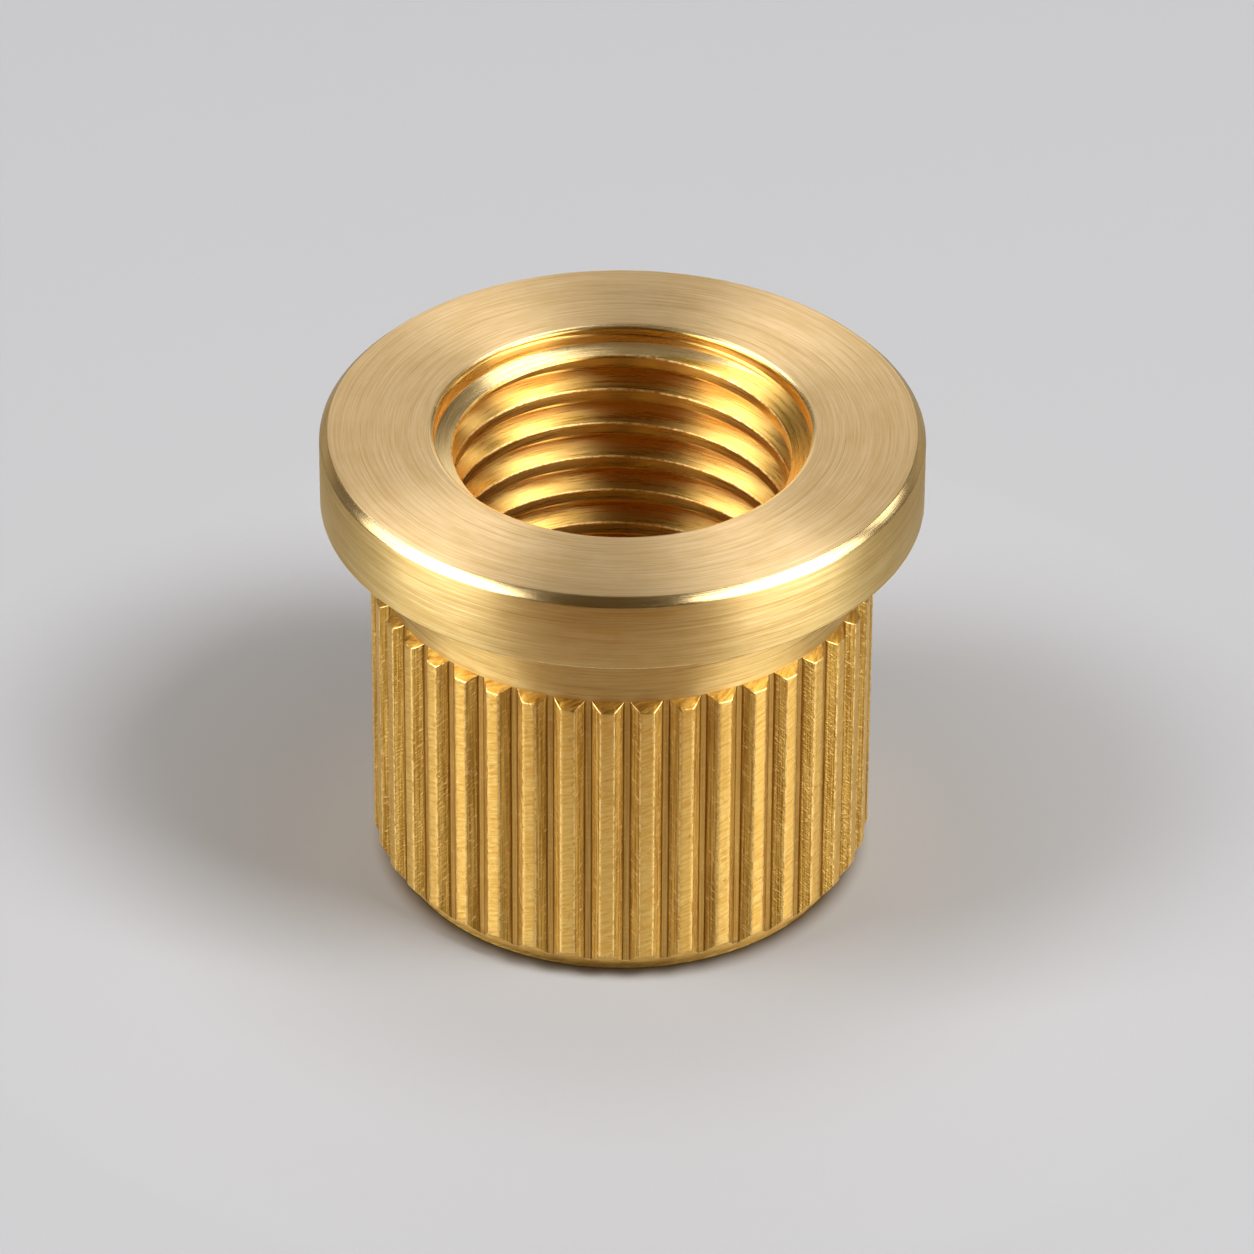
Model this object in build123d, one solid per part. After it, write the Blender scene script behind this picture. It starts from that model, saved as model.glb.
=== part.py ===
from build123d import *
import os
from math import asin, degrees

# Threaded brass insert: a flange, a plain neck and a straight-knurled shank, turned in one piece around a tapped
# through bore. Millimetres, +Z up, the origin on the axis at the middle of the base.

# Flange
flange_diameter = 22.2
flange_thickness = 3.0
flange_chamfer = 0.3          # top outer edge, 45 degrees
flange_edge_break = 0.08      # lower outer edge, 45 degrees

# Neck under the flange
neck_diameter = 17.9
neck_length = 2.9             # plain stretch, from the flange down to where the knurl rises
neck_fillet = 0.12            # tool radius in the corner under the flange

# Straight knurl
knurl_height = 0.35           # how far the crests stand out from the neck
knurl_lead_in = 0.3           # height of the slope from the neck out to the crests
crest_length = 10.95          # height of the full crests
tooth_count = 40
tooth_land = 0.5              # width of the flat crest of a tooth
groove_floor = 0.22           # width of the floor between two teeth
groove_floor_step = 0.02      # the floors stand this much proud of the neck
first_tooth_angle = -93.05    # direction of the tooth beside -Y, in degrees from +X
groove_overrun = 1.0          # how far the cutter runs past both ends of the knurl

# Base
base_chamfer_width = 0.75     # slope below the crests, measured inwards
base_chamfer_height = 0.95
base_land = 0.15              # short cylinder below that slope

# Tapped bore, whose thread is cut outwards from this plain wall
thread_diameter = 14.0
thread_pitch = 1.5
bore_depth_factor = 1.0825    # minor diameter of a metric nut thread: diameter less this many pitches
counterbore_inset = 0.1       # the counterbore's wall lies this far inside the thread's outer radius
counterbore_depth = 0.58
countersink_depth = 0.2       # shallow cone from the counterbore to the bore
mouth_bevel_width = 0.2       # broken edge of the mouth, measured on the top face
mouth_bevel_depth = 0.08
base_bore_chamfer = 0.8       # 45 degree lead-in at the lower end of the bore

flange_radius = flange_diameter / 2
neck_radius = neck_diameter / 2
crest_radius = neck_radius + knurl_height
floor_radius = neck_radius + groove_floor_step
base_radius = crest_radius - base_chamfer_width

crest_bottom = base_land + base_chamfer_height
crest_top = crest_bottom + crest_length
knurl_top = crest_top + knurl_lead_in
flange_bottom = knurl_top + neck_length
total_height = flange_bottom + flange_thickness

bore_radius = (thread_diameter - bore_depth_factor * thread_pitch) / 2
counterbore_radius = thread_diameter / 2 - counterbore_inset
mouth_radius = counterbore_radius + mouth_bevel_width
counterbore_floor = total_height - mouth_bevel_depth - counterbore_depth
bore_top = counterbore_floor - countersink_depth


def turned_blank():
    """The body as it leaves the lathe: half of its section, turned once round the axis."""
    outside = [
        (base_radius, 0),
        (base_radius, base_land),
        (crest_radius, crest_bottom),
        (crest_radius, crest_top),
        (neck_radius, knurl_top),
        (neck_radius, flange_bottom),
        (flange_radius - flange_edge_break, flange_bottom),
        (flange_radius, flange_bottom + flange_edge_break),
        (flange_radius, total_height - flange_chamfer),
        (flange_radius - flange_chamfer, total_height),
    ]
    inside = [
        (mouth_radius, total_height),
        (counterbore_radius, total_height - mouth_bevel_depth),
        (counterbore_radius, counterbore_floor),
        (bore_radius, bore_top),
        (bore_radius, base_bore_chamfer),
        (bore_radius + base_bore_chamfer, 0),
    ]
    with BuildPart() as blank:
        with BuildSketch(Plane.XZ) as half_section:
            with BuildLine():
                Polyline(*outside, *inside, close=True)
            make_face()
            corner = half_section.vertices().sort_by_distance((neck_radius, 0, flange_bottom))[0]
            fillet(corner, neck_fillet)
        revolve(axis=Axis.Z)
    return blank.part


def knurl_grooves():
    """One straight groove between each two teeth, with a narrow floor and sloping flanks up to the crests."""
    half_pitch = 180 / tooth_count
    half_land = degrees(asin(tooth_land / 2 / crest_radius))
    floor_edge = Vector(floor_radius, groove_floor / 2)
    crest_edge = Vector(crest_radius, 0).rotate(Axis.Z, half_pitch - half_land)
    outer_edge = crest_edge + (crest_edge - floor_edge)
    groove_section = make_face(
        Polyline(
            (floor_edge.X, -floor_edge.Y),
            (floor_edge.X, floor_edge.Y),
            (outer_edge.X, outer_edge.Y),
            (outer_edge.X, -outer_edge.Y),
            close=True,
        )
    )
    cutter = Pos(0, 0, -groove_overrun) * extrude(groove_section, knurl_top + 2 * groove_overrun, dir=(0, 0, 1))
    around = PolarLocations(0, tooth_count, start_angle=first_tooth_angle + half_pitch)
    return [place * cutter for place in around]


os.makedirs("parts", exist_ok=True)
threaded_insert = turned_blank() - knurl_grooves()
export_step(threaded_insert, "parts/threaded_insert.step")
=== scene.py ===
import math
import random

import bmesh
import bpy
from bpy.props import BoolProperty, FloatProperty, IntProperty, PointerProperty
from mathutils import Matrix, Vector, noise


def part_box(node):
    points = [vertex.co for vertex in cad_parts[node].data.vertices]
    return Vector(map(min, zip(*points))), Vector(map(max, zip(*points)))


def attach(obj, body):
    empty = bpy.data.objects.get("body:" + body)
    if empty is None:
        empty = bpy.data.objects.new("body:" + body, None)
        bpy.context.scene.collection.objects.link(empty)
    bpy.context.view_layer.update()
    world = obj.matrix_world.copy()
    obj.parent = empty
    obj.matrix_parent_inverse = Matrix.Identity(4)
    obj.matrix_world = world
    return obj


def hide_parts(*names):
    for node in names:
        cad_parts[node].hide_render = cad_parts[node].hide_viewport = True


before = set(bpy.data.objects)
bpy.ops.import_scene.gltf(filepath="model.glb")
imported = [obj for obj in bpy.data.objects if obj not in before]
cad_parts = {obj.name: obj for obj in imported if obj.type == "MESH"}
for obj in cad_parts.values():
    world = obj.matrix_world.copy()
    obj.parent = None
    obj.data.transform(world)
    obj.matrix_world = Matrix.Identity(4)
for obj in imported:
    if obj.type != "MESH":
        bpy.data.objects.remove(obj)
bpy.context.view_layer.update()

bl_info = {
    "name": "Threaded brass insert",
    "version": (1, 0, 0),
    "blender": (4, 5, 0),
    "location": "3D View > Sidebar > Insert",
    "description": "Knurled and tapped brass insert on its CAD frame, with a pale studio round it",
    "category": "Add Mesh",
}

MM = 0.001


def length(name, default, description):
    """Length in metres, shown in the scene's units."""
    return FloatProperty(
        name=name, description=description, default=default, unit="LENGTH", subtype="DISTANCE", precision=5
    )


class InsertShape(bpy.types.PropertyGroup):
    """Sizes of the insert, the same as the CAD's where the CAD has them."""

    flange_bottom: length("Flange bottom", 0.01525, "Height of the flange's seat")
    flange_chamfer: length("Flange chamfer", 0.0003, "Top outer edge of the flange")
    flange_break: length("Lower edge break", 0.00008, "Lower outer edge of the flange")
    neck_radius: length("Neck radius", 0.00895, "Plain neck under the flange")
    neck_fillet: length("Neck fillet", 0.00012, "Tool radius in the corner under the flange")
    knurl_top: length("Knurl top", 0.01235, "Height where the knurl's slope meets the neck")
    crest_top: length("Crest top", 0.01205, "Upper end of the full crests")
    crest_bottom: length("Crest bottom", 0.0011, "Lower end of the full crests")
    crest_radius: length("Crest radius", 0.0093, "Radius over the knurl's crests")
    floor_radius: length("Floor radius", 0.00897, "Radius of the floors between the teeth")
    crest_width: length("Crest width", 0.0005, "Flat of a tooth")
    floor_width: length("Floor width", 0.00022, "Flat between two teeth")
    base_radius: length("Base radius", 0.00855, "Outer radius of the base")
    base_land: length("Base land", 0.00015, "Short cylinder above the base")
    teeth: IntProperty(name="Teeth", description="Teeth round the knurl", default=40, min=3)
    first_tooth: FloatProperty(
        name="First tooth", description="Direction of one tooth from +X", default=math.radians(-93.05), subtype="ANGLE"
    )
    edge_break: length("Edge break", 0.000032, "Width of the broken edges of the teeth")
    edge_wobble: length("Edge wobble", 0.000010, "How far the burrs push the edges of the teeth about")
    rows: IntProperty(name="Rows", description="Rows of faces up a tooth", default=54, min=2)
    mouth_radius: length("Mouth radius", 0.0071, "Outer radius of the mouth's broken edge")
    mouth_depth: length("Mouth depth", 0.00008, "Depth of the mouth's broken edge")
    counterbore_radius: length("Counterbore radius", 0.0069, "Wall of the counterbore")
    counterbore_floor: length("Counterbore floor", 0.01759, "Height of the foot of the counterbore's wall")
    cone_foot: length("Cone foot", 0.01739, "Height where the countersink meets the bore")
    bore_radius: length("Bore radius", 0.006188, "Minor radius of the thread")
    root_radius: length("Root radius", 0.00699, "Radius at the bottom of the thread's grooves")
    pitch: length("Pitch", 0.0015, "Pitch of the thread")
    thread_crest: length("Thread crest", 0.00045, "Flat between two turns of the thread's groove")
    thread_start: length("Thread start", 0.000904, "Height of a crest's upper edge above the +Y side of the base")
    lower_lead_in: length("Lower lead-in", 0.0008, "45 degree lead-in at the bore's lower end")


class InsertStudio(bpy.types.PropertyGroup):
    """Size of the stage, and a strength for the key light that the lamps don't read."""

    half_size: length("Half size", 1.6, "Half of the floor's side")
    key: FloatProperty(name="Key", description="Strength of the key light", default=1.0)


TOOTH_COLUMNS = 14
THREAD_COLUMNS = 180


def wire(bm, points, closed=False):
    """Chain of edges through (radius, height) points in metres, in the XZ plane."""
    verts = [bm.verts.new((r, 0, z)) for r, z in points]
    for pair in zip(verts, verts[1:] + verts[:1] if closed else verts[1:]):
        bm.edges.new(pair)
    return verts


def round_corners(bm, corners):
    """Rounds the wire's corners: (radius, height, offset, segments) for each."""
    for r, z, offset, segments in corners:
        at = Vector((r, 0, z))
        corner = min(bm.verts, key=lambda v: (v.co - at).length)
        bmesh.ops.bevel(
            bm,
            geom=[corner],
            offset=offset,
            offset_type="OFFSET",
            segments=segments,
            profile=0.5,
            affect="VERTICES",
            material=-1,
        )


def turn(bm, columns, angle, rise=0.0):
    """Turns the wire round the axis, and lifts it at the same time."""
    bmesh.ops.spin(
        bm,
        geom=bm.verts[:] + bm.edges[:],
        cent=(0, 0, 0),
        axis=(0, 0, 1),
        dvec=(0, 0, rise / columns),
        angle=angle,
        steps=columns,
    )


def repeat(bm, times, step):
    """Sets copies of the mesh edge to edge, each moved on by step from the one before."""
    copy = bpy.data.meshes.new("copy")
    bm.to_mesh(copy)
    for _ in range(times - 1):
        copy.transform(step)
        bm.from_mesh(copy)
    bpy.data.meshes.remove(copy)
    bmesh.ops.remove_doubles(bm, verts=bm.verts, dist=1e-6)


def spin_teeth(bm, s):
    """Turns the wire once round the axis, with the same columns of faces in every tooth."""
    step = math.tau / s.teeth
    turn(bm, TOOTH_COLUMNS, step)
    repeat(bm, s.teeth, Matrix.Rotation(step, 4, "Z"))


def tooth_section(s):
    """(angle, radius) of each column of faces of one tooth, from its middle to the middle of the next floor and on
    to the next tooth, with the broken edges in it."""
    step = math.tau / s.teeth
    half = math.asin(s.crest_width / 2 / s.crest_radius)
    corner = Vector((s.crest_radius * math.cos(half), s.crest_radius * math.sin(half)))
    floor = Matrix.Rotation(step / 2, 2) @ Vector((s.floor_radius, -s.floor_width / 2))
    along = (floor - corner).normalized()
    side = [
        (half * 0.5, s.crest_radius),
        (half - s.edge_break / s.crest_radius, s.crest_radius),
    ]
    for point in (corner + along * s.edge_break, corner.lerp(floor, 0.4), corner.lerp(floor, 0.7), floor):
        side.append((math.atan2(point.y, point.x), point.length))
    middle = [(step / 2, s.floor_radius)]
    back = [(step - a, r) for a, r in reversed(side)]
    return [(0.0, s.crest_radius)] + side + middle + back


def outer_shell(bm, s, flange_radius, height):
    """Outside of the insert, from a ring on the base up round the flange to a ring on its top face."""
    n = s.rows
    ring = 0.008
    shank = [(s.crest_radius, s.crest_bottom + (s.crest_top - s.crest_bottom) * i / n) for i in range(n + 1)]
    end_break = s.edge_break * 0.8
    lower = (s.crest_radius - end_break, s.crest_bottom - end_break)
    upper = (s.crest_radius - end_break, s.crest_top + end_break)
    points = [
        (ring, 0),
        (s.base_radius, 0),
        (s.base_radius, s.base_land),
        lower,
        *shank,
        upper,
        (s.neck_radius, s.knurl_top),
        (s.neck_radius, (s.knurl_top + s.flange_bottom) / 2),
        (s.neck_radius, s.flange_bottom),
        (flange_radius - s.flange_break, s.flange_bottom),
        (flange_radius, s.flange_bottom + s.flange_break),
        (flange_radius, (s.flange_bottom + height) / 2),
        (flange_radius, height - s.flange_chamfer),
        (flange_radius - s.flange_chamfer, height),
        (ring + 0.0012, height),
        (ring, height),
    ]
    rows = bm.verts.layers.int.new("shank_row")
    from_groove = bm.verts.layers.float.new("from_groove")
    wire(bm, points)
    round_corners(
        bm,
        [
            (s.base_radius, 0, 0.00005, 2),
            (s.base_radius, s.base_land, 0.00006, 2),
            (s.neck_radius, s.flange_bottom, s.neck_fillet, 3),
            (flange_radius - s.flange_break, s.flange_bottom, 0.00003, 2),
            (flange_radius, s.flange_bottom + s.flange_break, 0.00003, 2),
            (flange_radius, height - s.flange_chamfer, 0.00004, 2),
            (flange_radius - s.flange_chamfer, height, 0.00004, 2),
        ],
    )
    section = tooth_section(s)
    outline = [Vector((r * math.cos(a), r * math.sin(a))) for a, r in section]
    outline = outline[: TOOTH_COLUMNS // 2 + 1]
    walked = [sum((q - p).length for p, q in zip(outline[i:], outline[i + 1 :])) for i in range(len(outline))]
    walked += walked[-2:0:-1]
    columns = s.teeth * TOOTH_COLUMNS
    row_of = {}
    for i, point in enumerate([lower, *shank, upper]):
        row_of[(round(point[0] * 1e8), round(point[1] * 1e8))] = i
    for v in bm.verts:
        v[rows] = row_of.get((round(v.co.x * 1e8), round(v.co.z * 1e8)), -1)
    spin_teeth(bm, s)
    base_slope = (s.crest_bottom - s.base_land) / (s.crest_radius - s.base_radius)
    top_slope = (s.knurl_top - s.crest_top) / (s.crest_radius - s.neck_radius)
    column_of = {}
    wobble = Vector((0.37, 0.11, 0.0))
    for v in bm.verts:
        column = round(math.atan2(v.co.y, v.co.x) / math.tau * columns) % columns
        tooth, place = divmod(column, TOOTH_COLUMNS)
        column_of[v] = (column, place)
        v[from_groove] = walked[place]
        angle, radius = section[place]
        angle += s.first_tooth + tooth * math.tau / s.teeth
        own, z, row = math.hypot(v.co.x, v.co.y), v.co.z, v[rows]
        if row >= 0:
            own = radius
            bottom = s.base_land + (radius - s.base_radius) * base_slope
            top = s.knurl_top - (radius - s.neck_radius) * top_slope
            if place in (6, 7, 8):
                top = s.knurl_top
            if row == 0:
                own, z = radius - end_break, bottom - end_break * base_slope
            elif row == n + 2:
                own, z = radius - end_break, top + end_break * top_slope
                if own < s.neck_radius or place in (6, 7, 8):
                    own, z = s.neck_radius, s.knurl_top
            else:
                share = (row - 1) / n
                z = bottom + end_break + (top - bottom - 2 * end_break) * share
                if place in (6, 7, 8) and row == n + 1:
                    own, z = s.neck_radius, s.knurl_top
                elif place in (2, 3, 11, 12):
                    seed = Vector((tooth * 3.1, place * 1.7, z * 4500))
                    push = noise.noise(seed) + 0.6 * noise.noise(seed * 2.3 + wobble)
                    angle += push * s.edge_wobble / radius
                    own += noise.noise(seed * 1.9) * s.edge_wobble * 0.6
        v.co = (own * math.cos(angle), own * math.sin(angle), z)
    edge_break_low, edge_break_high = s.flange_bottom + 0.00001, s.flange_bottom + s.flange_break
    neck_edge = s.neck_radius + s.neck_fillet
    for face in bm.faces:
        found = sorted({column_of[v][1] for v in face.verts})
        on_rows = [v[rows] for v in face.verts]
        if min(on_rows) < 0:
            middle = face.calc_center_median()
            if middle.z > height - 0.00001:
                face.material_index = 0
            elif middle.z > height - s.flange_chamfer:
                face.material_index = 6
            elif edge_break_low < middle.z < edge_break_high and middle.xy.length > neck_edge:
                face.material_index = 6
            # Faces from the ends of the teeth up to the neck: the tooth tops finish, darkened for painted shade under
            # the flange.
            elif max(on_rows) == n + 2:
                face.material_index = 8
            else:
                # Slot 7, the neck between the knurl and the flange, is darker for painted shade under the flange.
                face.material_index = 7 if s.knurl_top < middle.z < s.flange_bottom - s.neck_fillet else 2 if middle.z < s.crest_bottom else 1
            continue
        pair = (found[0], found[-1])
        if pair == (0, 13):
            pair = (13, 14)
        if min(on_rows) == 0 or max(on_rows) == n + 2 or pair in ((2, 3), (11, 12)):
            face.material_index = 4
        elif 3 <= pair[0] and pair[1] <= 11:
            face.material_index = 3
        else:
            face.material_index = 2
    bm.verts.layers.int.remove(rows)


def sleeve(bm, s, height):
    """Closed ring round the bore with the mouth and the lower lead-in, and spare metal where the thread goes."""
    ring = 0.008
    spare = s.bore_radius - 0.00019
    foot = s.bore_radius + 0.00005
    foot_height = s.cone_foot + 0.00001
    lead_out = s.bore_radius + s.lower_lead_in
    points = [
        (ring, height),
        (s.mouth_radius, height),
        (s.counterbore_radius, height - s.mouth_depth),
        (s.counterbore_radius, s.counterbore_floor),
        (foot, foot_height),
        (spare, foot_height - 0.00036),
        (spare, lead_out - spare),
        (lead_out, 0),
        (ring, 0),
    ]
    wire(bm, points, closed=True)
    round_corners(
        bm,
        [
            (s.mouth_radius, height, 0.00003, 2),
            (s.counterbore_radius, height - s.mouth_depth, 0.00008, 3),
            (s.counterbore_radius, s.counterbore_floor, 0.00004, 2),
            (foot, foot_height, 0.00004, 3),
            (lead_out, 0, 0.00004, 2),
        ],
    )
    columns = s.teeth * TOOTH_COLUMNS
    spin_teeth(bm, s)
    section = tooth_section(s)
    for v in bm.verts:
        column = round(math.atan2(v.co.y, v.co.x) / math.tau * columns) % columns
        tooth, place = divmod(column, TOOTH_COLUMNS)
        angle = section[place][0] + s.first_tooth + tooth * math.tau / s.teeth
        own = math.hypot(v.co.x, v.co.y)
        v.co = (own * math.cos(angle), own * math.sin(angle), v.co.z)


def screw_cutter(bm, s, height):
    """Closed screw whose outside is the thread: one pitch of its section, turned and raised at the same time."""
    flank = (s.root_radius - s.bore_radius) * math.tan(math.radians(30))
    opening = s.pitch - s.thread_crest
    turns = math.ceil((height + 0.0002 + s.pitch) / s.pitch) + 1
    start = s.thread_start - 2 * s.pitch
    while start + s.pitch > -0.0001:
        start -= s.pitch
    half = s.thread_crest / 2
    points = [
        (s.bore_radius, start - half),
        (s.bore_radius, start),
        (s.root_radius, start + flank),
        (s.root_radius, start + opening - flank),
        (s.bore_radius, start + opening),
        (s.bore_radius, start + opening + half),
    ]
    wire(bm, points)
    round_corners(
        bm,
        [
            (s.bore_radius, start, 0.00005, 3),
            (s.root_radius, start + flank, 0.00005, 3),
            (s.root_radius, start + opening - flank, 0.00005, 3),
            (s.bore_radius, start + opening, 0.00004, 2),
        ],
    )
    bmesh.ops.rotate(bm, verts=bm.verts, cent=(0, 0, 0), matrix=Matrix.Rotation(math.pi / 2, 3, "Z"))
    turn(bm, THREAD_COLUMNS, math.tau, s.pitch)
    repeat(bm, turns, Matrix.Translation((0, 0, s.pitch)))
    rim = [e for e in bm.edges if e.is_boundary]
    made = bmesh.ops.extrude_edge_only(bm, edges=rim)["geom"]
    inner = [g for g in made if isinstance(g, bmesh.types.BMVert)]
    middle = height / 2
    low = [v for v in inner if v.co.z < middle]
    high = [v for v in inner if v.co.z >= middle]
    bmesh.ops.pointmerge(bm, verts=low, merge_co=(0, 0, start - half))
    bmesh.ops.pointmerge(bm, verts=high, merge_co=(0, 0, start + s.pitch * (turns + 1)))
    bmesh.ops.recalc_face_normals(bm, faces=bm.faces)


def mesh_object(name, fill):
    """New object in the scene whose mesh fill(bm) makes."""
    mesh = bpy.data.meshes.new(name)
    bm = bmesh.new()
    fill(bm)
    bm.to_mesh(mesh)
    bm.free()
    made = bpy.data.objects.new(name, mesh)
    bpy.context.scene.collection.objects.link(made)
    return made


def tapped_bore(s, height):
    """Mesh of the sleeve with the screw cut out of it."""
    blank = mesh_object("bore_blank", lambda bm: (sleeve(bm, s, height), bmesh.ops.recalc_face_normals(bm, faces=bm.faces)))
    cutter = mesh_object("bore_cutter", lambda bm: screw_cutter(bm, s, height))
    cut = blank.modifiers.new("thread", "BOOLEAN")
    cut.operation, cut.solver, cut.object = "DIFFERENCE", "EXACT", cutter
    bpy.context.view_layer.update()
    graph = bpy.context.evaluated_depsgraph_get()
    mesh = bpy.data.meshes.new_from_object(blank.evaluated_get(graph))
    for spare in (blank, cutter):
        data = spare.data
        bpy.data.objects.remove(spare)
        bpy.data.meshes.remove(data)
    return mesh


def insert_mesh(s, flange_radius, height):
    """Whole insert: the outside and the tapped bore, joined along two rings."""
    bm = bmesh.new()
    bore = tapped_bore(s, height)
    bm.from_mesh(bore)
    bpy.data.meshes.remove(bore)
    ring = 0.008
    cone = (s.cone_foot - 0.0001, height - s.mouth_depth)
    flat = [e for e in bm.edges if all(cone[0] < v.co.z < cone[1] and v.co.xy.length < ring for v in e.verts)]
    bmesh.ops.dissolve_limit(bm, angle_limit=math.radians(0.2), verts=[], edges=flat)
    wall = [f for f in bm.faces if min(math.hypot(v.co.x, v.co.y) for v in f.verts) > ring - 1e-5]
    bmesh.ops.delete(bm, geom=wall, context="FACES")
    for face in bm.faces:
        middle = face.calc_center_median()
        around, out = math.atan2(middle.y, middle.x) - math.pi / 2, middle.xy.length
        above_crest = (middle.z - s.thread_start - s.pitch * around / math.tau + s.pitch / 2) % s.pitch - s.pitch / 2
        near_bore = out < s.bore_radius + 0.0001
        if middle.z > height - 0.00001:
            face.material_index = 0
        elif middle.z > height - s.mouth_depth:
            face.material_index = 6
        elif out > s.root_radius and middle.z < s.counterbore_floor or face.normal.z < -0.999:
            face.material_index = 1
        elif middle.z > s.cone_foot and face.normal.z > 0.93 and not near_bore:
            face.material_index = 6
        elif middle.z > s.cone_foot - 0.00002 and near_bore and face.normal.z > 0.7:
            face.material_index = 4
        elif abs(above_crest) < 0.00004 and out < s.bore_radius + 0.00004:
            face.material_index = 4
        else:
            face.material_index = 5
    shell = bpy.data.meshes.new("shell")
    outside = bmesh.new()
    outer_shell(outside, s, flange_radius, height)
    outside.to_mesh(shell)
    outside.free()
    bm.from_mesh(shell)
    bpy.data.meshes.remove(shell)
    bmesh.ops.remove_doubles(bm, verts=bm.verts, dist=2e-6)
    bmesh.ops.dissolve_degenerate(bm, edges=bm.edges, dist=1e-7)
    bmesh.ops.recalc_face_normals(bm, faces=bm.faces)
    open_edges = [e for e in bm.edges if not e.is_manifold]
    if open_edges:
        where = sorted({tuple(round(x * 1000, 2) for x in e.verts[0].co) for e in open_edges})[:6]
        raise RuntimeError(f"the insert's mesh has {len(open_edges)} open edges, at {where} mm")
    mesh = bpy.data.meshes.new("threaded_insert_turned")
    for face in bm.faces:
        face.smooth = True
    bm.to_mesh(mesh)
    bm.free()
    mesh.set_sharp_from_angle(angle=math.radians(27))
    return mesh


def linear(hex_colour):
    """sRGB hex as linear RGBA."""
    parts = [int(hex_colour[i : i + 2], 16) / 255 for i in (1, 3, 5)]
    return (*(p / 12.92 if p <= 0.04045 else ((p + 0.055) / 1.055) ** 2.4 for p in parts), 1.0)


def add_node(tree, kind, inputs=None, **settings):
    """One shader node. Inputs are sockets to link or values to set, by name or number."""
    node = tree.nodes.new(kind)
    for name, value in settings.items():
        setattr(node, name, value)
    for name, value in (inputs or {}).items():
        if isinstance(value, bpy.types.NodeSocket):
            tree.links.new(value, node.inputs[name])
        else:
            node.inputs[name].default_value = value
    return node


def scaled(tree, value, factor):
    """A number socket times a number."""
    return add_node(tree, "ShaderNodeMath", {0: value, 1: factor}, operation="MULTIPLY").outputs[0]


def noise_at(tree, vector, w=None, **inputs):
    """Fractal noise, 0 to 1, at a vector; a fourth number makes it four-dimensional."""
    inputs = {"Vector": vector, "Scale": 1.0, **{k.capitalize(): v for k, v in inputs.items()}}
    if w is not None:
        inputs["W"] = w
    return add_node(tree, "ShaderNodeTexNoise", inputs, noise_dimensions="3D" if w is None else "4D").outputs[0]


def between(tree, value, low, high, new_low=0.0, new_high=1.0):
    """Value from low to high, taken smoothly to the new range."""
    limits = {"Value": value, "From Min": low, "From Max": high, "To Min": new_low, "To Max": new_high}
    return add_node(tree, "ShaderNodeMapRange", limits, interpolation_type="SMOOTHSTEP").outputs[0]


def mixed(tree, share, first, second):
    """Colour between two hex colours or sockets, by a share."""
    mix = add_node(tree, "ShaderNodeMix", {0: share}, data_type="RGBA")
    for socket, colour in ((6, first), (7, second)):
        if isinstance(colour, str):
            mix.inputs[socket].default_value = linear(colour)
        else:
            tree.links.new(colour, mix.inputs[socket])
    return mix.outputs[2]


class Marks:
    """Coordinates that tool marks need, from the object's own: distance from the axis, height and direction."""

    def __init__(self, tree):
        self.tree = tree
        self.place = add_node(tree, "ShaderNodeTexCoord").outputs["Object"]
        flat = add_node(tree, "ShaderNodeVectorMath", {0: self.place, 1: (1, 1, 0)}, operation="MULTIPLY").outputs[0]
        self.radius = add_node(tree, "ShaderNodeVectorMath", {0: flat}, operation="LENGTH").outputs["Value"]
        self.height = add_node(tree, "ShaderNodeSeparateXYZ", {0: self.place}).outputs["Z"]
        way = add_node(tree, "ShaderNodeVectorMath", {0: flat}, operation="NORMALIZE").outputs[0]
        self.way = add_node(tree, "ShaderNodeSeparateXYZ", {0: way})
        self.around = add_node(tree, "ShaderNodeVectorMath", {0: (0, 0, 1), 1: self.place}, operation="CROSS_PRODUCT")

    def turned(self, spacing, drift, **settings):
        """Noise drawn out round the axis: spacing from mark to mark in metres, drift how soon a mark ends."""
        vector = add_node(
            self.tree,
            "ShaderNodeCombineXYZ",
            {
                0: scaled(self.tree, self.radius, 1 / spacing),
                1: scaled(self.tree, self.way.outputs["X"], drift),
                2: scaled(self.tree, self.way.outputs["Y"], drift),
            },
        ).outputs[0]
        return noise_at(self.tree, vector, scaled(self.tree, self.height, 1 / spacing), **settings)

    def stretched(self, across, along, **settings):
        """Noise drawn out along the axis: its sizes across and along it in metres."""
        size = (1 / across, 1 / across, 1 / along)
        vector = add_node(self.tree, "ShaderNodeVectorMath", {0: self.place, 1: size}, operation="MULTIPLY").outputs[0]
        return noise_at(self.tree, vector, **settings)

    def tangent(self, marks_run_round):
        """Direction in which the surface gleams: across its marks."""
        if not marks_run_round:
            return self.around.outputs[0]
        normal = add_node(self.tree, "ShaderNodeNewGeometry").outputs["Normal"]
        crossed = {0: normal, 1: self.around.outputs[0]}
        return add_node(self.tree, "ShaderNodeVectorMath", crossed, operation="CROSS_PRODUCT").outputs[0]


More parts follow.
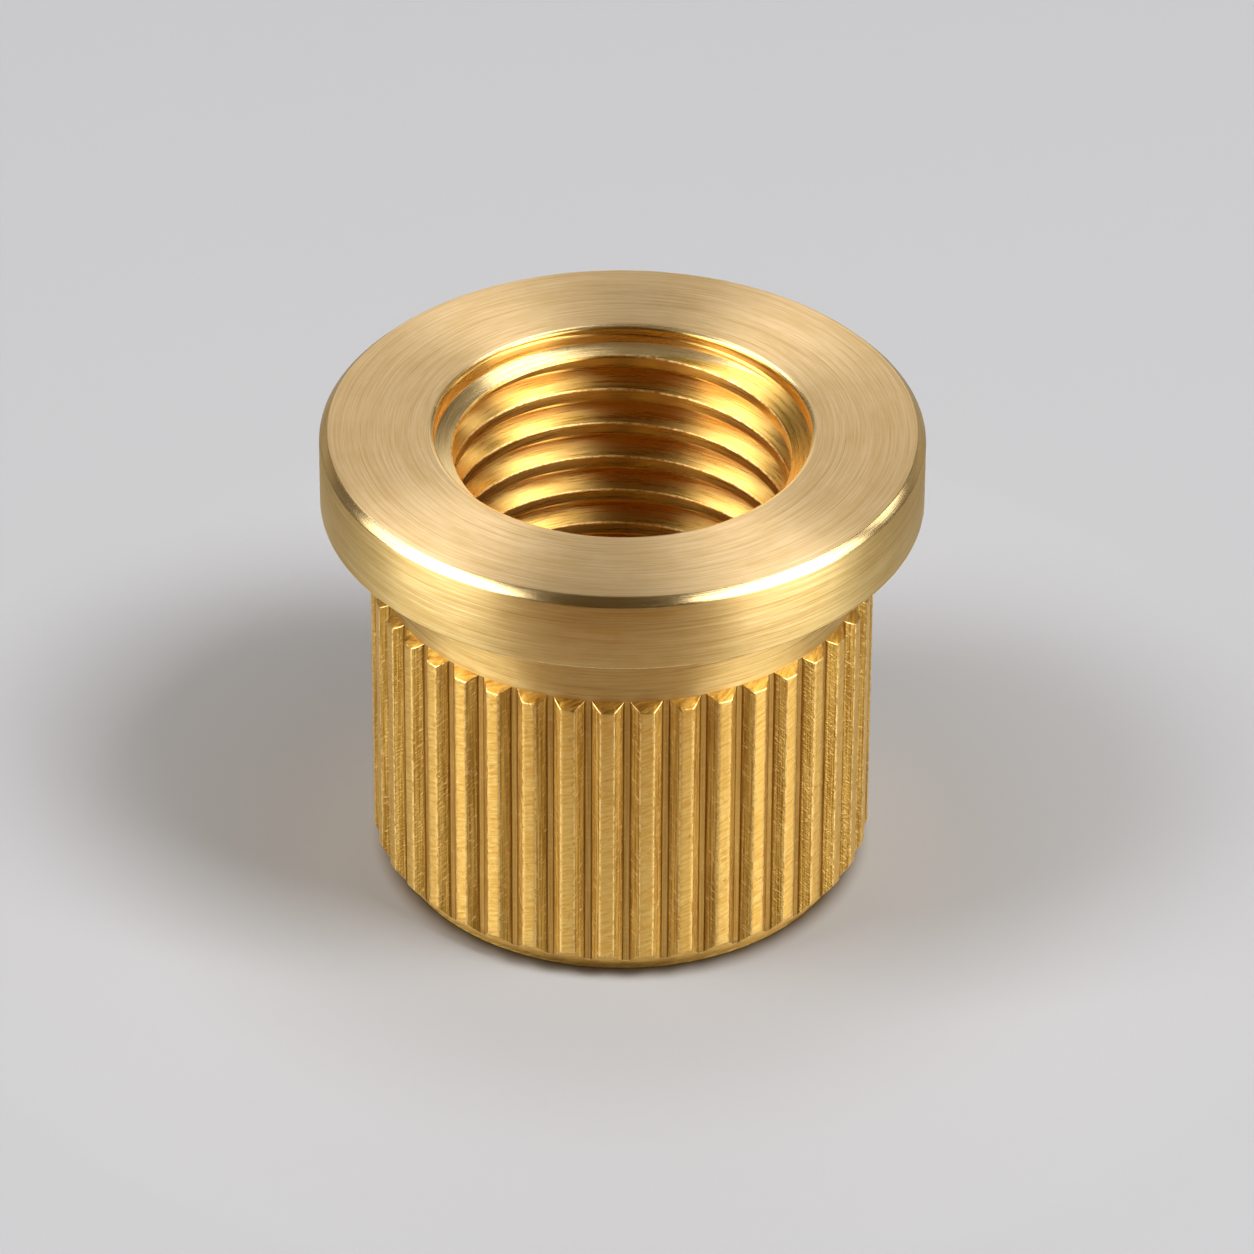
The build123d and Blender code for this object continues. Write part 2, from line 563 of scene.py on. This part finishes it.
def brass(name, roughness, anisotropy, marks_run_round, finish):
    """Bare brass. finish(tree, marks) gives its colour, change of roughness and height of its marks in metres."""
    material = bpy.data.materials.new(name)
    material.use_nodes = True
    tree = material.node_tree
    shader = tree.nodes["Principled BSDF"]
    marks = Marks(tree)
    colour, rougher, height = finish(tree, marks)
    cloud = marks.stretched(0.0016, 0.0012, detail=3.0, roughness=0.6)
    toned = add_node(tree, "ShaderNodeMix", {0: between(tree, cloud, 0.42, 0.66, 0.0, 0.16)}, data_type="RGBA", blend_type="MULTIPLY")
    tree.links.new(colour, toned.inputs[6])
    toned.inputs[7].default_value = linear("#E2D2B0")
    colour = toned.outputs[2]
    shader.inputs["Metallic"].default_value = 1.0
    shader.inputs["Anisotropic"].default_value = anisotropy
    tree.links.new(marks.tangent(marks_run_round), shader.inputs["Tangent"])
    tree.links.new(colour, shader.inputs["Base Color"])
    tree.links.new(between(tree, rougher, 0.25, 0.75, roughness[0], roughness[1]), shader.inputs["Roughness"])
    bump = add_node(tree, "ShaderNodeBump", {"Height": height, "Distance": 1.0, "Strength": 1.0})
    tree.links.new(bump.outputs[0], shader.inputs["Normal"])
    return material


def added(tree, *values):
    """Sum of number sockets."""
    total = values[0]
    for value in values[1:]:
        total = add_node(tree, "ShaderNodeMath", {0: total, 1: value}, operation="ADD").outputs[0]
    return total


def turned_finish(deep, pale, dark_scratch, light_scratch, spacing, depth):
    """Fine circles left by the lathe, with longer light and dark scratches among them."""

    def finish(tree, marks):
        fine = marks.turned(spacing, 4.0, detail=3.0, roughness=0.7)
        long = marks.turned(spacing * 1.4, 1.6, detail=2.0, roughness=0.6)
        hair = marks.turned(0.00005, 1.1, detail=1.0, roughness=0.5)
        colour = mixed(tree, between(tree, fine, 0.32, 0.68), deep, pale)
        colour = mixed(tree, between(tree, long, 0.56, 0.74, 0.0, 0.35), colour, dark_scratch)
        colour = mixed(tree, between(tree, long, 0.26, 0.44, 0.35, 0.0), colour, light_scratch)
        colour = mixed(tree, between(tree, hair, 0.64, 0.7, 0.0, 0.6), colour, dark_scratch)
        colour = mixed(tree, between(tree, hair, 0.29, 0.34, 0.5, 0.0), colour, light_scratch)
        height = added(tree, scaled(tree, fine, depth), scaled(tree, long, -depth), scaled(tree, hair, -0.000004))
        return colour, fine, height

    return finish


def specks(tree, marks, spacing, radius):
    """Share of dark specks: about one in every cell of this spacing, both in metres."""
    cells = add_node(tree, "ShaderNodeTexVoronoi", {"Vector": marks.place, "Scale": 1 / spacing})
    return between(tree, cells.outputs["Distance"], radius / spacing * 0.5, radius / spacing, 0.8, 0.0)


def crest_finish(deep, pale):
    """Feed marks that slant across the crests, with small dents."""

    def finish(tree, marks):
        turn = add_node(tree, "ShaderNodeMath", {0: marks.way.outputs["Y"], 1: marks.way.outputs["X"]}, operation="ARCTAN2")
        arc = scaled(tree, turn.outputs[0], 0.0093)
        slant = scaled(tree, added(tree, marks.height, scaled(tree, arc, -0.35)), 1 / 0.00012)
        vector = add_node(tree, "ShaderNodeCombineXYZ", {0: scaled(tree, arc, 1 / 0.0007), 1: slant}).outputs[0]
        feed = noise_at(tree, vector, detail=4.0, roughness=0.7)
        dents = marks.stretched(0.0003, 0.0003, detail=3.0, roughness=0.65)
        colour = mixed(tree, between(tree, feed, 0.34, 0.66), deep, pale)
        colour = mixed(tree, between(tree, dents, 0.6, 0.75, 0.0, 0.5), colour, "#B98335")
        colour = mixed(tree, specks(tree, marks, 0.0021, 0.00004), colour, "#5A3A10")
        height = added(tree, scaled(tree, feed, 0.000018), scaled(tree, dents, 0.000012))
        return colour, feed, height

    return finish


def groove_finish(tree, marks):
    """Streaks drawn down the flanks and floors, with painted shade in the corners, and slanting chatter on the flanks.
    """
    streaks = marks.stretched(0.00006, 0.004, detail=2.0, roughness=0.6)
    across = add_node(tree, "ShaderNodeAttribute", attribute_name="from_groove").outputs["Fac"]
    slant = scaled(tree, added(tree, across, marks.height), 1 / 0.00009)
    along = scaled(tree, added(tree, across, scaled(tree, marks.height, -1.0)), 1 / 0.0004)
    ridges = add_node(tree, "ShaderNodeCombineXYZ", {0: slant, 1: along, 2: scaled(tree, marks.way.outputs["X"], 9.0)})
    chatter = noise_at(tree, ridges.outputs[0], detail=3.0, roughness=0.65)
    colour = mixed(tree, between(tree, streaks, 0.3, 0.7), "#AC7E2E", "#E6BC60")
    colour = mixed(tree, between(tree, chatter, 0.54, 0.7, 0.0, 0.8), colour, "#FFDB94")
    floor = between(tree, across, 0.00009, 0.00013, 0.6, 0.0)
    colour = mixed(tree, floor, colour, "#C49A55")
    # Painted shade: a dark band where each flank meets the floor of the groove.
    corner = between(tree, across, 0.00012, 0.00018, 0.75, 0.0)
    past = between(tree, across, 0.00008, 0.00011)
    corner = add_node(tree, "ShaderNodeMath", {0: corner, 1: past}, operation="MULTIPLY").outputs[0]
    colour = mixed(tree, corner, colour, "#7A5014")
    on_flank = between(tree, across, 0.00012, 0.0002, 0.0, 0.00005)
    ridge_height = add_node(tree, "ShaderNodeMath", {0: chatter, 1: on_flank}, operation="MULTIPLY").outputs[0]
    colour = mixed(tree, specks(tree, marks, 0.0017, 0.00004), colour, "#4A2E0C")
    height = added(tree, scaled(tree, streaks, 0.000012), ridge_height)
    return colour, chatter, height


def edge_finish(tree, marks):
    """Burrs along the teeth: thin bright lips, broken here and there."""
    burr = marks.stretched(0.0002, 0.00022, detail=3.0, roughness=0.7)
    colour = mixed(tree, between(tree, burr, 0.38, 0.54), "#DFAA50", "#FCDA92")
    return colour, burr, scaled(tree, burr, 0.00002)


def thread_finish(tree, marks):
    """Cutting marks that follow the thread, on a smoother and warmer wall."""
    fine = marks.turned(0.00009, 1.5, detail=3.0, roughness=0.65)
    colour = mixed(tree, between(tree, fine, 0.3, 0.7), "#DDAE50", "#EFC676")
    return colour, fine, scaled(tree, fine, 0.000008)


class InsertBuild(bpy.types.Operator):
    """Builds the insert with its knurl and thread"""

    bl_idname = "insert.build"
    bl_label = "Build insert"

    def execute(self, context):
        s = context.scene.insert_shape
        low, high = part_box("threaded_insert")
        flange_radius, height = (high.x - low.x) / 2, high.z
        piece = bpy.data.objects.new("threaded_insert_turned", insert_mesh(s, flange_radius, height))
        context.scene.collection.objects.link(piece)
        faced = turned_finish("#D1B17C", "#E3C79A", "#AC8A55", "#F3DFB8", 0.00007, 0.000005)
        turned = turned_finish("#E7C379", "#F7DC99", "#BE954A", "#FFEEBC", 0.00008, 0.000006)
        cut = turned_finish("#EFCF90", "#F8DFA8", "#D9B06A", "#FFF0CC", 0.00008, 0.000003)
        # Neck finish: the turned finish in deeper colours throughout, painted shade under the flange.
        neck = turned_finish("#DEB96E", "#F1D08A", "#A87E38", "#FFE6A8", 0.00008, 0.000006)
        for name, rough, across, run_round, finish in (
            ("Brass, faced", (0.33, 0.4), 0.88, True, faced),
            ("Brass, turned", (0.36, 0.43), 0.88, True, turned),
            ("Brass, knurl crests", (0.36, 0.46), 0.7, True, crest_finish("#F4BC55", "#FFDB82")),
            ("Brass, knurl grooves", (0.4, 0.54), 0.35, True, groove_finish),
            ("Brass, burred edges", (0.3, 0.5), 0.7, True, edge_finish),
            ("Brass, tapped bore", (0.24, 0.34), 0.8, True, thread_finish),
            ("Brass, cut edges", (0.2, 0.26), 0.6, True, cut),
            ("Brass, turned neck, painted shade", (0.36, 0.43), 0.88, True, neck),
            # Tooth tops: the crest finish in dark colours, painted shade under the flange, and rougher.
            ("Brass, tooth tops, painted shade", (0.42, 0.52), 0.3, True, crest_finish("#9C6E26", "#C99C4A")),
        ):
            piece.data.materials.append(brass(name, rough, across, run_round, finish))
        weighted = piece.modifiers.new("weighted_normals", "WEIGHTED_NORMAL")
        weighted.mode, weighted.keep_sharp, weighted.weight = "FACE_AREA", True, 50
        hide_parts("threaded_insert")
        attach(piece, "root")
        return {"FINISHED"}


def softbox(name, place, aim, width, depth, radiance, colour="#FFFFFF"):
    """Rectangular softbox at place, facing aim. Metres, and 1 is the radiance of plain white."""
    data = bpy.data.lights.new(name, "AREA")
    data.shape, data.size, data.size_y = "RECTANGLE", width, depth
    data.energy = radiance * math.pi * width * depth
    data.color = linear(colour)[:3]
    lamp = bpy.data.objects.new(name, data)
    lamp.location = place
    lamp.rotation_euler = (Vector(aim) - Vector(place)).to_track_quat("-Z", "Y").to_euler()
    bpy.context.scene.collection.objects.link(lamp)
    return lamp


def studio_world():
    """Dim room with a pale wall behind the object and a dark side behind the camera."""
    world = bpy.data.worlds.new("studio_world")
    world.use_nodes = True
    tree = world.node_tree
    way = add_node(tree, "ShaderNodeTexCoord").outputs["Generated"]
    flat = add_node(tree, "ShaderNodeVectorMath", {0: way, 1: (1, 1, 0)}, operation="MULTIPLY")
    flat = add_node(tree, "ShaderNodeVectorMath", {0: flat.outputs[0]}, operation="NORMALIZE")
    front = add_node(tree, "ShaderNodeVectorMath", {0: flat.outputs[0], 1: (0, -1, 0)}, operation="DOT_PRODUCT")
    up = add_node(tree, "ShaderNodeSeparateXYZ", {0: way}).outputs["Z"]

    front, cos, sin, rad = front.outputs["Value"], math.cos, math.sin, math.radians
    rear = between(tree, front, -cos(rad(13)), -cos(rad(30)), 1.0, 0.0)
    low = between(tree, up, sin(rad(10)), sin(rad(24)), 1.0, 0.0)
    low = add_node(tree, "ShaderNodeMath", {0: low, 1: between(tree, front, -cos(rad(40)), -cos(rad(62)), 1.0, 0.0)}, operation="MULTIPLY").outputs[0]
    camera_side = between(tree, front, cos(rad(50)), cos(rad(32)))
    overhead = between(tree, up, sin(rad(42)), sin(rad(56)))
    colour = mixed(tree, low, "#62584A", "#A89C88")
    colour = mixed(tree, rear, colour, "#FFFAF0")
    colour = mixed(tree, overhead, colour, "#7C756B")
    colour = mixed(tree, camera_side, colour, "#483921")
    tree.links.new(colour, tree.nodes["Background"].inputs["Color"])
    return world


def reflected_card(bm):
    """Flat ring a little above the floor, which only reflections see."""
    bmesh.ops.create_circle(bm, segments=96, radius=0.0275)
    made = bmesh.ops.extrude_edge_only(bm, edges=bm.edges[:])["geom"]
    rim = [g for g in made if isinstance(g, bmesh.types.BMVert)]
    bmesh.ops.scale(bm, verts=rim, vec=(30, 30, 1))
    bmesh.ops.translate(bm, verts=bm.verts, vec=(0, 0, 0.0004))


class InsertStage(bpy.types.Operator):
    """Builds the floor, the lights and the camera"""

    bl_idname = "insert.stage"
    bl_label = "Build stage"

    def execute(self, context):
        scene = context.scene
        studio = scene.insert_studio
        half = studio.half_size
        floor = mesh_object(
            "studio_floor",
            lambda bm: bmesh.ops.create_grid(bm, x_segments=1, y_segments=1, size=half),
        )
        paper = bpy.data.materials.new("Paper, pale grey, painted shadow round the insert")
        paper.use_nodes = True
        tree = paper.node_tree
        place = add_node(tree, "ShaderNodeTexCoord").outputs["Object"]
        away = add_node(tree, "ShaderNodeVectorMath", {0: place}, operation="LENGTH").outputs["Value"]
        # Painted contact shadow: a dark brown ring on the paper from about 8.4 to 9.5 mm off the axis, where the base
        # stands, kept off the paper inside 7.4 mm that the bore shows.
        under = between(tree, away, 0.0084, 0.0095, 1.0, 0.0)
        covered = between(tree, away, 0.0074, 0.0079)
        under = add_node(tree, "ShaderNodeMath", {0: under, 1: covered}, operation="MULTIPLY").outputs[0]
        # Painted shade: the paper is darker within 12 mm of the axis and back to its own grey by 20 mm.
        near = between(tree, away, 0.012, 0.02, 1.0, 0.0)
        shader = tree.nodes["Principled BSDF"]
        paper_with_painted_shade = mixed(tree, near, "#AEAFB3", "#A4A5A8")
        tree.links.new(mixed(tree, under, paper_with_painted_shade, "#3A3026"), shader.inputs["Base Color"])
        shader.inputs["Roughness"].default_value = 0.9
        floor.data.materials.append(paper)
        for name, bearing, height, width, depth, radiance in (
            ("studio_box_right", 60, 27, 0.46, 0.68, 4.6),
            ("studio_box_right_side", 87, 42, 0.24, 0.44, 2.7),
            ("studio_box_right_low", 118, 30, 0.16, 0.16, 2.3),
            ("studio_box_right_rear", 146, 62, 0.18, 0.2, 3.4),
            ("studio_box_left", -66, 24, 0.42, 0.6, 4.6),
            ("studio_box_left_side", -94, 43, 0.28, 0.5, 2.6),
            ("studio_box_left_rear", -143, 53, 0.22, 0.2, 3.0),
        ):
            azimuth, elevation, distance = math.radians(bearing), math.radians(height), 0.6
            reach = distance * math.cos(elevation)
            place = (math.sin(azimuth) * reach, -math.cos(azimuth) * reach, distance * math.sin(elevation))
            box = softbox(name, place, (0, 0, 0.01), width, depth, radiance)
            box.visible_diffuse = False
        for name, place, size, radiance in (
            ("studio_key_right", (0.35, -0.18, 0.6), 0.24, 27.0),
            ("studio_key_left", (-0.36, -0.11, 0.56), 0.24, 14.5),
        ):
            key = softbox(name, place, (0, 0, 0.01), size, size, radiance)
            key.visible_glossy = False
        flag = mesh_object("studio_flag", reflected_card)
        card = bpy.data.materials.new("Card, brown and grey")
        card.use_nodes = True
        tree = card.node_tree
        place = add_node(tree, "ShaderNodeTexCoord").outputs["Object"]
        way = add_node(tree, "ShaderNodeVectorMath", {0: place}, operation="NORMALIZE").outputs[0]
        front = scaled(tree, add_node(tree, "ShaderNodeSeparateXYZ", {0: way}).outputs["Y"], -1.0)
        shader = tree.nodes["Principled BSDF"]
        brown = between(tree, front, 0.5, 0.8)
        tree.links.new(mixed(tree, brown, "#7F7A70", "#6E4A14"), shader.inputs["Base Color"])
        shader.inputs["Roughness"].default_value = 0.9
        flag.data.materials.append(card)
        flag.visible_camera = flag.visible_diffuse = flag.visible_shadow = False
        scene.world = studio_world()
        tilt = math.radians(34.851)
        towards = Vector((0, -math.cos(tilt), math.sin(tilt)))
        up = Vector((0, math.sin(tilt), math.cos(tilt)))
        lens = bpy.data.cameras.new("studio_camera")
        lens.sensor_width, lens.lens, lens.clip_start, lens.clip_end = 36, 242.54, 0.01, 10
        camera = bpy.data.objects.new("studio_camera", lens)
        camera.location = Vector((0.000199, 0, 0.01825)) + towards * 0.30871 - up * 0.007247
        turn = (-towards).to_track_quat("-Z", "Y").to_matrix() @ Matrix.Rotation(math.radians(0.303), 3, "Z")
        camera.rotation_euler = turn.to_euler()
        scene.collection.objects.link(camera)
        scene.camera = camera
        scene.view_settings.view_transform = "Standard"
        return {"FINISHED"}


class InsertPanel(bpy.types.Panel):
    """Sizes of the insert and its studio, and a button for each"""

    bl_idname = "VIEW3D_PT_insert"
    bl_label = "Threaded insert"
    bl_space_type = "VIEW_3D"
    bl_region_type = "UI"
    bl_category = "Insert"

    def draw(self, context):
        for group, operator in (
            (context.scene.insert_shape, "insert.build"),
            (context.scene.insert_studio, "insert.stage"),
        ):
            column = self.layout.column(align=True)
            for name in group.__annotations__:
                column.prop(group, name)
            self.layout.operator(operator)


CLASSES = (InsertShape, InsertStudio, InsertBuild, InsertStage, InsertPanel)


def register():
    for kind in CLASSES:
        bpy.utils.register_class(kind)
    bpy.types.Scene.insert_shape = PointerProperty(type=InsertShape)
    bpy.types.Scene.insert_studio = PointerProperty(type=InsertStudio)


def unregister():
    del bpy.types.Scene.insert_studio
    del bpy.types.Scene.insert_shape
    for kind in reversed(CLASSES):
        bpy.utils.unregister_class(kind)


def main():
    register()
    bpy.ops.insert.build()
    bpy.ops.insert.stage()


if __name__ == "__main__":
    main()
